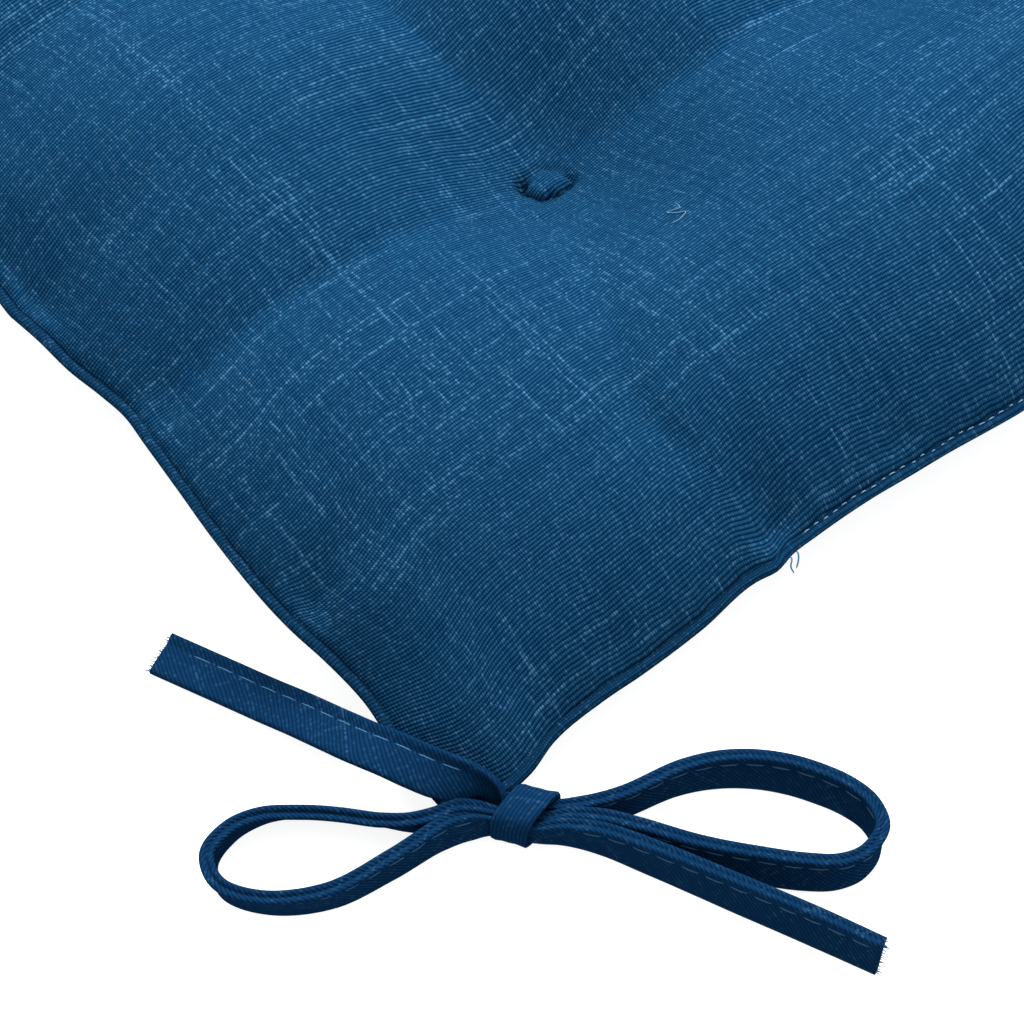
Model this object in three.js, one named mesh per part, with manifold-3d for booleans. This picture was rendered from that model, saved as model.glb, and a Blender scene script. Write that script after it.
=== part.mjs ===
// Tufted chair cushion with a bow of self-fabric ties at each back corner.
// Millimetres, +Z up. The cushion lies on its underside at z = 0, centred on the origin.
// The back edge, with the ties, is towards +Y. The sides called flanks face +X and -X.
import * as THREE from 'three';
import { mergeVertices } from 'three/addons/utils/BufferGeometryUtils.js';
import Module from 'manifold-3d';

// Cover
const SIDE = 406; // sewn size of the square, before the filling draws it in
const GRID_CELLS = 36; // cells across each face of the cushion
const EDGE_DENSITY = 0.4; // how far the cells crowd towards the seam, 0 to 1

// Height of the seam above the surface that the cushion lies on
const SEAM_MIDDLE = 27;
const SEAM_CORNER = 5;
const SEAM_DROOP_POWER = 3;

// Filling
const CROWN = 49; // height of the top above the seam, with no tufts
const TOP_RISE = { edge: 3.4, round: 0.72 };
const BELLY_RISE = { edge: 4, round: 0.6 };
const BELLY_PRESS = 6; // how far the free underside would hang below the surface

// Tufts, stitched through from top to bottom
const TUFT_X = 57;
const TUFT_Y = 57;
const TUFT_DEPTH = 1.17; // share of the crown that a tuft pulls down
const TUFT_FLOOR = 8; // radius of the rounded floor of its hollow
const TUFT_REACH = 24;
const UNDER_TUFT_LIFT = 9;
const UNDER_TUFT_REACH = 15;

// Creases in the top. depth is the share of the crown lost, and width how far it reaches.
const VALLEY = { depth: 0.34, width: 22 }; // between two tufts
const FLANK_PLEAT = { depth: 0.36, width: 26 }; // from a tuft to a flank
const END_PLEAT = { depth: 0.14, width: 10 }; // from a tuft to the back or the front edge
const CREASE_ROUND = 0.1; // rounding of a crease, as a share of its width
const CORNER_SAG = { depth: 0.16, width: 42 }; // broad dip from a tuft to its corner

// How far each side is drawn in from the sewn square, by share of the half side.
// The back corners are blunt, because the ties gather them.
const CORNER_START = 0.86;
const SHOULDER_START = 0.35;
const DRAW_IN = {
  flank: { middle: 7, shoulder: 6.5, dent: 4.5, dentAt: 0.25, dentWidth: 0.1, corner: 8 },
  back: { middle: 8.5, shoulder: 14, dent: 1.5, dentAt: 0.43, dentWidth: 0.06, corner: 25 },
  front: { middle: 8.5, shoulder: 12, dent: 2.5, dentAt: 0.28, dentWidth: 0.1, corner: 8.5 },
};

// Ties: flat strips of the cover's cloth
const TIE_WIDTH = 12.5;
const TIE_THICK = 2.2;
const TIE_EDGE_THICK = 0.9;
const TIE_SHOULDER = 0.85; // from the middle to where the section thins, in half widths
const TIE_STEPS = 60;

// Bow frame: along runs beside the bow's long axis, out points away from the cushion
const KNOT_X = 181.4;
const KNOT_Y = 194.4;
const ALONG = new THREE.Vector3(-0.41, 0.912, 0);
const OUT = new THREE.Vector3(0.912, 0.41, 0);
const KNOT_TURN = -10; // degrees that the knot is turned from the bow's axis
const KNOT_LENGTH = 11;
const KNOT_WIDTH = 15;
const KNOT_HEIGHT = 12.8;
const KNOT_WALL = 1.5;
const KNOT_ROUND = 4.2;
const KNOT_MIDDLE = 7.1;
const ROOT_WIDTH = 4.6;
const ROOT_THICK = 1.8;

// Routes of the ties in the bow frame. lean is the angle of the strip's stitched edge
// from straight up towards the cushion, and gather is the share of its width.
const LOOP_TIE_ROUTE = [
  { along: 0, out: 1.4, up: 6.9, lean: 0, gather: 0.55 },
  { along: -5.5, out: 2.1, up: 6.9, lean: 0, gather: 0.56 },
  { along: -10, out: 3.5, up: 6.6, lean: 0, gather: 0.8 },
  { along: -15.3, out: 6, up: 6.4, lean: -4, gather: 1 },
  { along: -19.5, out: 10.2, up: 6.4, lean: -10, gather: 1 },
  { along: -25, out: 13.8, up: 6.3, lean: -18, gather: 1 },
  { along: -32, out: 16.2, up: 6.1, lean: -25, gather: 1 },
  { along: -42, out: 19, up: 6.1, lean: -28, gather: 1 },
  { along: -51, out: 22.8, up: 6.1, lean: -28, gather: 1 },
  { along: -59, out: 28, up: 6.2, lean: -25, gather: 1 },
  { along: -64.2, out: 35.5, up: 6.3, lean: -20, gather: 1 },
  { along: -65.2, out: 44.5, up: 6.4, lean: -15, gather: 1 },
  { along: -58.8, out: 50.6, up: 6.4, lean: -12, gather: 1 },
  { along: -47, out: 49.4, up: 6.4, lean: -10, gather: 1 },
  { along: -33.4, out: 40.6, up: 6.5, lean: -6, gather: 1 },
  { along: -23.6, out: 26.3, up: 6.5, lean: 2, gather: 1 },
  { along: -15.6, out: 12.4, up: 6.6, lean: 12, gather: 0.95 },
  { along: -10.4, out: 7.4, up: 6.8, lean: 14, gather: 0.78 },
  { along: -5.6, out: 5, up: 6.9, lean: 4, gather: 0.56 },
  { along: 0, out: 4, up: 6.9, lean: 0, gather: 0.55 },
  { along: 5.5, out: 2.4, up: 6.9, lean: 0, gather: 0.56 },
  { along: 11, out: -0.6, up: 6.7, lean: 0, gather: 0.85 },
  { along: 20, out: -3, up: 6.5, lean: 0, gather: 1 },
  { along: 33, out: -3.7, up: 6.5, lean: 0, gather: 1 },
  { along: 58, out: -3.9, up: 6.5, lean: 0, gather: 1 },
  { along: 79, out: -3.9, up: 6.5, lean: 0, gather: 1 },
  { along: 96, out: -3.5, up: 6.5, lean: 0, gather: 1 },
];
const TAIL_TIE_ROUTE = [
  { along: -7.9, out: -3.3, up: 6.9, lean: 0, gather: 0.5 },
  { along: 0, out: -3.9, up: 6.9, lean: 0, gather: 0.55 },
  { along: 5.5, out: -4.6, up: 6.9, lean: 0, gather: 0.56 },
  { along: 11.4, out: -7.4, up: 6.7, lean: 0, gather: 0.85 },
  { along: 20.2, out: -14.2, up: 6.5, lean: 0, gather: 1 },
  { along: 30.3, out: -26.8, up: 6.5, lean: 0, gather: 1 },
  { along: 37.8, out: -33.2, up: 6.5, lean: 0, gather: 1 },
  { along: 45.9, out: -37.5, up: 6.5, lean: 0, gather: 1 },
  { along: 54.5, out: -40.1, up: 6.5, lean: 0, gather: 1 },
  { along: 63, out: -41.1, up: 6.5, lean: 0, gather: 1 },
  { along: 71, out: -40.9, up: 6.5, lean: 0, gather: 1 },
  { along: 78, out: -38.8, up: 6.5, lean: 0, gather: 1 },
  { along: 82.9, out: -33.6, up: 6.5, lean: 0, gather: 1 },
  { along: 82.2, out: -26, up: 6.5, lean: 0, gather: 1 },
  { along: 77.5, out: -20.4, up: 6.5, lean: 0, gather: 1 },
  { along: 70, out: -16.8, up: 6.5, lean: 0, gather: 1 },
  { along: 58.9, out: -13.4, up: 6.5, lean: 0, gather: 1 },
  { along: 44.1, out: -10, up: 6.5, lean: 0, gather: 1 },
  { along: 28.5, out: -8.2, up: 6.5, lean: 0, gather: 1 },
  { along: 19, out: -6.9, up: 6.6, lean: 0, gather: 1 },
  { along: 11, out: -4.4, up: 6.8, lean: 0, gather: 0.85 },
  { along: 5.5, out: -1.8, up: 6.9, lean: 0, gather: 0.56 },
  { along: 0, out: -1.5, up: 6.8, lean: 0, gather: 0.55 },
  { along: -6, out: -1, up: 6.9, lean: 4, gather: 0.5 },
  { along: -11.2, out: -1.2, up: 11.1, lean: 25, gather: 0.7 },
  { along: -17, out: 1.2, up: 14.8, lean: 52, gather: 0.92 },
  { along: -22.7, out: 3, up: 16.8, lean: 64, gather: 1 },
  { along: -29.2, out: 3.6, up: 17.7, lean: 72, gather: 1 },
  { along: -35.6, out: 3.5, up: 17.6, lean: 80, gather: 1 },
  { along: -42.4, out: 3.2, up: 16.5, lean: 87, gather: 1 },
  { along: -52.6, out: 0.8, up: 11.7, lean: 90, gather: 1 },
  { along: -64.2, out: -1.8, up: 6.8, lean: 90, gather: 1 },
  { along: -75, out: -3.4, up: 3.2, lean: 90, gather: 1 },
  { along: -86, out: -4.1, up: 1.6, lean: 90, gather: 1 },
  { along: -106, out: -4.5, up: 1.4, lean: 90, gather: 1 },
];
const ROOT_ROUTE = [
  { along: 0, out: -1.6, up: 2, lean: 90, gather: 1 },
  { along: -5, out: -1.7, up: 1.9, lean: 90, gather: 1 },
  { along: -8.5, out: -1.9, up: 1.9, lean: 90, gather: 1 },
  { along: -11.4, out: -2, up: 3, lean: 90, gather: 1 },
];

const wasm = await Module();
wasm.setup();

const coverCloth = new THREE.MeshStandardMaterial({ color: 0x1b4b74, roughness: 0.9 });
const tieCloth = new THREE.MeshStandardMaterial({ color: 0x0e365d, roughness: 0.9 });

function clamp(value, low, high) {
  return Math.min(high, Math.max(low, value));
}

function ease(share) {
  const x = clamp(share, 0, 1);
  return x * x * (3 - 2 * x);
}

function bump(distance, width) {
  return Math.exp(-((distance / width) ** 2));
}

// Rise from the seam at a share of the half side, for one direction
function rise(share, shape) {
  return Math.max(0, 1 - Math.abs(share) ** shape.edge) ** shape.round;
}

function drawIn(side, share) {
  const reach = Math.abs(share);
  const shoulder = (side.shoulder - side.middle) * ease(reach / SHOULDER_START);
  const corner = (side.corner - side.shoulder) * ease((reach - CORNER_START) / (1 - CORNER_START));
  return side.middle + shoulder + corner + side.dent * bump(reach - side.dentAt, side.dentWidth);
}

// Place in plan of a point given by its shares of the half sides
function planPoint(across, deep) {
  const end = deep > 0 ? DRAW_IN.back : DRAW_IN.front;
  const x = across * (SIDE / 2 - drawIn(DRAW_IN.flank, deep));
  const y = deep * (SIDE / 2 - drawIn(end, across));
  return { x, y };
}

function seamHeight(across, deep) {
  const droop = (SEAM_MIDDLE - SEAM_CORNER) * Math.abs(across * deep) ** SEAM_DROOP_POWER;
  return SEAM_MIDDLE - droop;
}

const tufts = [];
for (const x of [-TUFT_X, TUFT_X]) {
  for (const y of [-TUFT_Y, TUFT_Y]) {
    tufts.push({ x, y });
  }
}

function distanceToSegment(x, y, a, b) {
  const lengthSquared = (b.x - a.x) ** 2 + (b.y - a.y) ** 2;
  const share = clamp(((x - a.x) * (b.x - a.x) + (y - a.y) * (b.y - a.y)) / lengthSquared, 0, 1);
  return Math.hypot(x - a.x - share * (b.x - a.x), y - a.y - share * (b.y - a.y));
}

// Valleys join neighbouring tufts, pleats run from each tuft to the two nearest seams, where
// they meet the dents in the outline, and sags run to the corners.
const valleys = [];
const flankPleats = [];
const endPleats = [];
const sags = [];
for (const a of tufts) {
  for (const b of tufts) {
    if (a.x < b.x && a.y === b.y) valleys.push([a, b]);
    if (a.y < b.y && a.x === b.x) valleys.push([a, b]);
  }
  const end = a.y > 0 ? DRAW_IN.back : DRAW_IN.front;
  const half = SIDE / 2;
  const corner = { x: Math.sign(a.x) * half, y: Math.sign(a.y) * half };
  flankPleats.push([a, { x: corner.x, y: corner.y * DRAW_IN.flank.dentAt }]);
  endPleats.push([a, { x: corner.x * end.dentAt, y: corner.y }]);
  sags.push([a, corner]);
}

function nearestLine(x, y, lines) {
  return Math.min(...lines.map(([a, b]) => distanceToSegment(x, y, a, b)));
}

function nearestTuft(x, y) {
  return Math.min(...tufts.map((tuft) => Math.hypot(x - tuft.x, y - tuft.y)));
}

function tuftPull(x, y) {
  let pull = 0;
  for (const tuft of tufts) {
    const away = Math.hypot(x - tuft.x, y - tuft.y, TUFT_FLOOR) - TUFT_FLOOR;
    pull += Math.exp(-away / TUFT_REACH);
  }
  return Math.min(1, pull);
}

// Share of the crown that is left beside a crease
function creased(distance, crease) {
  const softened = Math.hypot(distance / crease.width, CREASE_ROUND) - CREASE_ROUND;
  return 1 - crease.depth * Math.exp(-softened);
}

function topHeight(across, deep) {
  const { x, y } = planPoint(across, deep);
  const crown = CROWN * rise(across, TOP_RISE) * rise(deep, TOP_RISE);
  const tufted = 1 - TUFT_DEPTH * tuftPull(x, y);
  const valley = creased(nearestLine(x, y, valleys), VALLEY);
  const pleat =
    creased(nearestLine(x, y, flankPleats), FLANK_PLEAT) *
    creased(nearestLine(x, y, endPleats), END_PLEAT);
  const sag = 1 - CORNER_SAG.depth * bump(nearestLine(x, y, sags), CORNER_SAG.width);
  return seamHeight(across, deep) + crown * tufted * valley * pleat * sag;
}

// The underside is flat where the cushion's weight presses it, and lifts at the tufts
function bellyHeight(across, deep) {
  const { x, y } = planPoint(across, deep);
  const seam = seamHeight(across, deep);
  const hang = (seam + BELLY_PRESS) * rise(across, BELLY_RISE) * rise(deep, BELLY_RISE);
  const lift = UNDER_TUFT_LIFT * ease(1 - nearestTuft(x, y) / (2 * UNDER_TUFT_REACH));
  return Math.max(0, seam - hang) + lift;
}

function gridShares() {
  return Array.from({ length: GRID_CELLS + 1 }, (_, i) => {
    const even = (2 * i) / GRID_CELLS - 1;
    return (1 - EDGE_DENSITY) * even + EDGE_DENSITY * Math.sin((Math.PI / 2) * even);
  });
}

// One closed skin: a top and an underside that share the seam's points
function cushionGeometry() {
  const shares = gridShares();
  const last = GRID_CELLS;
  const positions = [];
  const top = [];
  const belly = [];
  const addPoint = (across, deep, z) => {
    const { x, y } = planPoint(across, deep);
    positions.push(x, y, z);
    return positions.length / 3 - 1;
  };
  for (let j = 0; j <= last; j += 1) {
    top.push([]);
    belly.push([]);
    for (let i = 0; i <= last; i += 1) {
      const onSeam = i === 0 || j === 0 || i === last || j === last;
      top[j][i] = addPoint(shares[i], shares[j], topHeight(shares[i], shares[j]));
      belly[j][i] = onSeam
        ? top[j][i]
        : addPoint(shares[i], shares[j], bellyHeight(shares[i], shares[j]));
    }
  }
  const faces = [];
  for (let j = 0; j < last; j += 1) {
    for (let i = 0; i < last; i += 1) {
      // The diagonal runs towards the centre, so that no face at a corner is all seam
      const leansIn = (i < last / 2) === (j < last / 2);
      const quad = (grid) => [grid[j][i], grid[j][i + 1], grid[j + 1][i + 1], grid[j + 1][i]];
      const [a, b, c, d] = quad(top);
      const [e, f, g, h] = quad(belly);
      if (leansIn) {
        faces.push(a, b, c, a, c, d, e, g, f, e, h, g);
      } else {
        faces.push(a, b, d, b, c, d, e, h, f, f, h, g);
      }
    }
  }
  const geometry = new THREE.BufferGeometry();
  geometry.setAttribute('position', new THREE.Float32BufferAttribute(positions, 3));
  geometry.setIndex(faces);
  geometry.computeVertexNormals();
  return geometry;
}

// A route whose cross-section keeps its stitched edge where each row says
class TieRoute extends THREE.CatmullRomCurve3 {
  constructor(rows, hand) {
    super(rows.map((row) => TieRoute.place(row, hand)), false, 'centripetal');
    this.rows = rows;
    this.outward = OUT.clone().multiply(new THREE.Vector3(hand, 1, 1));
  }

  static place(row, hand) {
    const x = KNOT_X + row.along * ALONG.x + row.out * OUT.x;
    const y = KNOT_Y + row.along * ALONG.y + row.out * OUT.y;
    return new THREE.Vector3(hand * x, y, row.up);
  }

  valueAt(name, share) {
    const place = this.getUtoTmapping(share) * (this.rows.length - 1);
    const index = Math.min(Math.floor(place), this.rows.length - 2);
    return THREE.MathUtils.lerp(this.rows[index][name], this.rows[index + 1][name], place - index);
  }

  computeFrenetFrames(segments) {
    const frames = { tangents: [], normals: [], binormals: [] };
    for (let i = 0; i <= segments; i += 1) {
      const share = i / segments;
      const tangent = this.getTangentAt(share);
      const lean = THREE.MathUtils.degToRad(this.valueAt('lean', share));
      const edge = new THREE.Vector3(0, 0, Math.cos(lean));
      edge.addScaledVector(this.outward, -Math.sin(lean));
      edge.addScaledVector(tangent, -edge.dot(tangent)).normalize();
      frames.tangents.push(tangent);
      frames.binormals.push(new THREE.Vector3().crossVectors(tangent, edge));
      frames.normals.push(edge.multiplyScalar(this.valueAt('gather', share)));
    }
    return frames;
  }
}

function stripShape(width, thick, edgeThick) {
  const half = width / 2;
  const shoulder = half * TIE_SHOULDER;
  const shape = new THREE.Shape();
  shape.moveTo(half, edgeThick / 2);
  shape.lineTo(shoulder, thick / 2);
  shape.lineTo(-shoulder, thick / 2);
  shape.lineTo(-half, edgeThick / 2);
  shape.lineTo(-half, -edgeThick / 2);
  shape.lineTo(-shoulder, -thick / 2);
  shape.lineTo(shoulder, -thick / 2);
  shape.lineTo(half, -edgeThick / 2);
  shape.closePath();
  return shape;
}

function stripGeometry(rows, hand, steps, width, thick, edgeThick) {
  const extrudePath = new TieRoute(rows, hand);
  return new THREE.ExtrudeGeometry(stripShape(width, thick, edgeThick), { steps, extrudePath });
}

function tieGeometry(rows, hand) {
  return stripGeometry(rows, hand, TIE_STEPS, TIE_WIDTH, TIE_THICK, TIE_EDGE_THICK);
}

function roundedRectangle(path, width, height, round) {
  const x = width / 2;
  const y = height / 2;
  path.moveTo(x - round, -y);
  path.quadraticCurveTo(x, -y, x, -y + round);
  path.lineTo(x, y - round);
  path.quadraticCurveTo(x, y, x - round, y);
  path.lineTo(-x + round, y);
  path.quadraticCurveTo(-x, y, -x, y - round);
  path.lineTo(-x, -y + round);
  path.quadraticCurveTo(-x, -y, -x + round, -y);
  path.closePath();
  return path;
}

function solidOf(geometry) {
  const bare = geometry.clone();
  bare.deleteAttribute('normal');
  bare.deleteAttribute('uv');
  const merged = mergeVertices(bare, 1e-4);
  return new wasm.Manifold(
    new wasm.Mesh({
      numProp: 3,
      vertProperties: new Float32Array(merged.attributes.position.array),
      triVerts: new Uint32Array(merged.index.array),
    }),
  );
}

function geometryOf(solid) {
  const mesh = solid.getMesh();
  const geometry = new THREE.BufferGeometry();
  geometry.setAttribute('position', new THREE.BufferAttribute(mesh.vertProperties, 3));
  geometry.setIndex(new THREE.BufferAttribute(mesh.triVerts, 1));
  geometry.computeVertexNormals();
  return geometry;
}

// The turn of tie that binds the bow, with the short stretch that comes out of the seam
function knotGeometry(hand) {
  const outline = roundedRectangle(new THREE.Shape(), KNOT_WIDTH, KNOT_HEIGHT, KNOT_ROUND);
  const innerWidth = KNOT_WIDTH - 2 * KNOT_WALL;
  const innerHeight = KNOT_HEIGHT - 2 * KNOT_WALL;
  const innerRound = KNOT_ROUND - KNOT_WALL;
  outline.holes.push(roundedRectangle(new THREE.Path(), innerWidth, innerHeight, innerRound));
  const band = new THREE.ExtrudeGeometry(outline, {
    depth: KNOT_LENGTH,
    bevelEnabled: false,
    curveSegments: 5,
  });
  band.translate(0, 0, -KNOT_LENGTH / 2);
  const turn = THREE.MathUtils.degToRad(KNOT_TURN);
  const axis = ALONG.clone().multiplyScalar(Math.cos(turn)).addScaledVector(OUT, Math.sin(turn));
  axis.x *= hand;
  const up = new THREE.Vector3(0, 0, 1);
  const across = new THREE.Vector3().crossVectors(up, axis).normalize();
  band.applyMatrix4(new THREE.Matrix4().makeBasis(across, up, axis.normalize()));
  band.translate(hand * KNOT_X, KNOT_Y, KNOT_MIDDLE);
  const root = stripGeometry(ROOT_ROUTE, hand, 6, ROOT_WIDTH, ROOT_THICK, ROOT_THICK / 2);
  return geometryOf(solidOf(band).add(solidOf(root)));
}

function named(name, geometry, material) {
  const mesh = new THREE.Mesh(geometry, material);
  mesh.name = name;
  return mesh;
}

const cushion = new THREE.Group();
cushion.add(named('cushion', cushionGeometry(), coverCloth));
for (const [corner, hand] of [['right', 1], ['left', -1]]) {
  cushion.add(named(`loop_tie_${corner}`, tieGeometry(LOOP_TIE_ROUTE, hand), tieCloth));
  cushion.add(named(`tail_tie_${corner}`, tieGeometry(TAIL_TIE_ROUTE, hand), tieCloth));
  cushion.add(named(`knot_${corner}`, knotGeometry(hand), tieCloth));
}

export default cushion;
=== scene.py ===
"""Tufted chair cushion with a bow of self-fabric ties at each back corner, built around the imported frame.

Metres, +Z up. The cushion lies on its underside at z = 0, with the ties towards +Y.
"""

import math

import bmesh
import bpy
import numpy as np
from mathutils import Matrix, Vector


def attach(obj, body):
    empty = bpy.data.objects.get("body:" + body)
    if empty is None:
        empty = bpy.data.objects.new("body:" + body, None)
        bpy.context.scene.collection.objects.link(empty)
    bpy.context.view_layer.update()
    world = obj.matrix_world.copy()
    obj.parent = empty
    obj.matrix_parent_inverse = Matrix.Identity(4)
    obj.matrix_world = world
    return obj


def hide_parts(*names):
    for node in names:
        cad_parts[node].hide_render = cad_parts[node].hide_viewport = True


bl_info = {
    "name": "Tufted chair cushion",
    "version": (1, 0, 0),
    "blender": (4, 5, 0),
    "location": "View3D > Sidebar > Cushion",
    "description": "Builds a square tufted chair cushion with tie bows",
    "category": "Add Mesh",
}

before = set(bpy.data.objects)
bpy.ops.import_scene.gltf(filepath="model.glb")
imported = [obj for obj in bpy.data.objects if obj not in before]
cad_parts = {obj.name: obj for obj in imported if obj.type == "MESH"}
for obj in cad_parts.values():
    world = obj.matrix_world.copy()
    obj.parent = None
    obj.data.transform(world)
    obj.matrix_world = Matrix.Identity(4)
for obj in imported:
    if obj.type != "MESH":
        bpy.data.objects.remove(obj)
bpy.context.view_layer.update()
MM = 0.001
UP = np.array((0.0, 0.0, 1.0))
BODY = "root"

# Camera of the photograph
CAMERA_AZIMUTH = 140
CAMERA_ELEVATION = 58
CAMERA_FIELD = 14
CAMERA_DISTANCE = 1.08
CAMERA_TARGET = (0.13061, 0.12951, 0.020)

# Light of the photograph: soft, from behind and above
LIGHT_FROM = (-0.36, -0.34, 0.87)
LIGHT_DISTANCE = 1.7
LIGHT_WIDTH = 1.4
LIGHT_POWER = 104
SKY_DIM = 0.1
SKY_BRIGHT = 1.8
FLOOR_GLOW = 0.85

# Outline of the sewn cover, as the draw-in from the flat square along half a side.
# Rows are the share of the half side from its middle, then the draw-in in millimetres.
FLANK_DRAW_IN = [
    (0.0, 7.0),
    (0.06, 8.0),
    (0.14, 8.6),
    (0.2, 10.2),
    (0.25, 11.1),
    (0.31, 10.0),
    (0.4, 8.3),
    (0.5, 6.5),
    (0.68, 6.4),
    (0.74, 8.0),
    (0.82, 9.2),
    (0.93, 7.2),
    (1.0, 8.0),
]
BACK_DRAW_IN = [
    (0.0, 8.0),
    (0.06, 8.2),
    (0.12, 9.6),
    (0.18, 11.2),
    (0.24, 12.4),
    (0.3, 13.8),
    (0.4, 14.9),
    (0.44, 15.0),
    (0.47, 14.0),
    (0.5, 15.2),
    (0.6, 14.4),
    (0.7, 15.4),
    (0.76, 16.8),
    (0.84, 17.2),
    (0.89, 15.0),
    (0.93, 15.5),
    (1.0, 25.0),
]
FRONT_DRAW_IN = [
    (0.0, 8.5),
    (0.1, 9.0),
    (0.28, 13.0),
    (0.4, 12.0),
    (0.62, 11.5),
    (0.75, 13.0),
    (0.9, 10.0),
    (1.0, 8.5),
]

# Folds pressed into the top, mirrored into each quarter. Rows are the points that a fold
# runs through in millimetres, its depth as a share of the crown, its half width and how
# round it is: 1 is a crease, 2 a soft valley.
FOLDS = [
    ([(0, 65), (57, 57)], 0.45, 23, 1),
    ([(62, 0), (57, 57)], 0.45, 23, 1),
    ([(57, 57), (80, 100), (99, 141), (91, 175), (89, 200)], 0.14, 10, 1),
    ([(57, 57), (130, 57), (203, 48)], 0.36, 26, 1),
    ([(57, 57), (118, 118)], 0.16, 42, 2),
]

# Puckers that start at the seam. Columns are the place on the seam and the inner end in
# millimetres, the depth in millimetres and the half width. Each is mirrored left to right.
PUCKERS = [
    ((198, 4), (132, 2), 5.5, 13),
    ((197, -12), (165, -14), 1.6, 6),
    ((193, 52), (150, 56), 3.0, 8),
    ((198, 122), (150, 112), 5.0, 8),
    ((198, -62), (140, -56), 4.5, 15),
    ((196, -130), (168, -122), 2.2, 7),
    ((88, 192), (80, 150), 6.5, 7),
    ((46, 192), (50, 150), 2.2, 8),
    ((140, 186), (134, 158), 1.8, 6),
    ((52, -192), (55, -150), 2.6, 8),
    ((118, -192), (112, -160), 2.2, 7),
    ((14, -194), (12, -160), 1.6, 6),
]

# Form of the top and the underside: how late and how sharply they fall to the seam, the
# hollow that a tuft makes, in millimetres but for its depth as a share of the crown, and
# how far it draws the cloth round it in
TOP_EDGE = 4.2
TOP_ROUND = 0.85
TUFT_DEPTH = 1.17
TUFT_FLOOR = 8
TUFT_REACH = 24
CREASE_ROUND = 0.1
BELLY_EDGE = 4
BELLY_ROUND = 0.6
BELLY_PRESS = 6
UNDER_TUFT_LIFT = 9
UNDER_TUFT_REACH = 30
GATHER = 8
GATHER_START = 0.014
GATHER_REACH = 0.032

# A tuft's puff and the pits at its ends, in millimetres, and which way the tack runs on the
# photographed tuft
TUFT_MIDDLE = 24.3
PUFF_HALF_LENGTH = 6.3
PUFF_HALF_WIDTH = 4.7
PUFF_RISE = 4.0
PUFF_SAG = 0.5
PIT_PLACE = 6.2
PIT_DEPTH = 4.2
PIT_WIDTH = 2.2
TACK_LINE = (-0.9, 0.433)

# Short fold that stands beside each tack, in millimetres
FOLD_RISE = 1.3
FOLD_RADIUS = 10.5
FOLD_HALF_WIDTH = 2.2

# Rolled lip of the seam and the flat closing edge, in millimetres but for the share of the
# lip that the cover leaves in view, and how many cells the cover has along a side
LIP_THICK = 2.4
CLOSING_THICK = 1.7
LIP_IN_VIEW = 0.6
COVER_CELLS = 220

# Radii of the threads, in millimetres
TIE_THREAD = 0.2
FRAYED_FIBRE = 0.13
CLOSING_THREAD = 0.19
STRAY_FIBRE = 0.11
CUT_THREAD = 0.22

# Topstitch of the closing edge, in metres, and two cut ends of its thread, in
# millimetres from the pinch at the edge's end
CLOSING_STITCH = 0.0023
CLOSING_PITCH = 0.0033
CLOSING_INSET = 0.0026
THREAD_ENDS = [
    [(-1.0, -0.5, 0), (-0.8, 0.8, 0.1), (0.2, 2.0, -0.6), (1.6, 2.9, -1.8)],
    [(1.2, -0.5, 0), (1.6, 1.0, 0.2), (3.0, 2.2, -0.4), (3.2, 3.8, -1.6)],
]

# A stray end of thread that lies on the top, in millimetres on the flat square
STRAY_THREAD = [(49, 106), (50, 109), (53, 107.5), (52, 110), (50.5, 112), (53.5, 113), (56, 112.5)]

# Routes of the ties in the bow's own frame, in metres: along its axis, out from the
# cushion and up, then the lean of the stitched edge in degrees and the share of the width.
LOOP_TIE_ROUTE = [
    (0.0, 0.0014, 0.0069, 0, 0.55),
    (-0.0055, 0.0021, 0.0069, 0, 0.56),
    (-0.01, 0.0035, 0.0066, 0, 0.8),
    (-0.0153, 0.006, 0.0064, -4, 1),
    (-0.0195, 0.0102, 0.0064, -10, 1),
    (-0.025, 0.0138, 0.0063, -18, 1),
    (-0.032, 0.0162, 0.0061, -25, 1),
    (-0.042, 0.019, 0.0061, -28, 1),
    (-0.051, 0.0228, 0.0061, -28, 1),
    (-0.059, 0.028, 0.0062, -25, 1),
    (-0.0642, 0.0355, 0.0063, -20, 1),
    (-0.0652, 0.0445, 0.0064, -15, 1),
    (-0.0588, 0.0506, 0.0064, -12, 1),
    (-0.047, 0.0494, 0.0064, -10, 1),
    (-0.0334, 0.0406, 0.0065, -6, 1),
    (-0.0236, 0.0263, 0.0065, 2, 1),
    (-0.0156, 0.0124, 0.0066, 12, 0.95),
    (-0.0104, 0.0074, 0.0068, 14, 0.78),
    (-0.0056, 0.005, 0.0069, 4, 0.56),
    (0.0, 0.004, 0.0069, 0, 0.55),
    (0.0055, 0.0024, 0.0069, 0, 0.56),
    (0.011, -0.0006, 0.0067, 0, 0.85),
    (0.02, -0.003, 0.0065, 4, 1),
    (0.033, -0.0037, 0.0065, 10, 1),
    (0.058, -0.0039, 0.0064, 15, 1),
    (0.079, -0.0039, 0.0064, 17, 1),
    (0.096, -0.0035, 0.0064, 15, 1),
]
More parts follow.
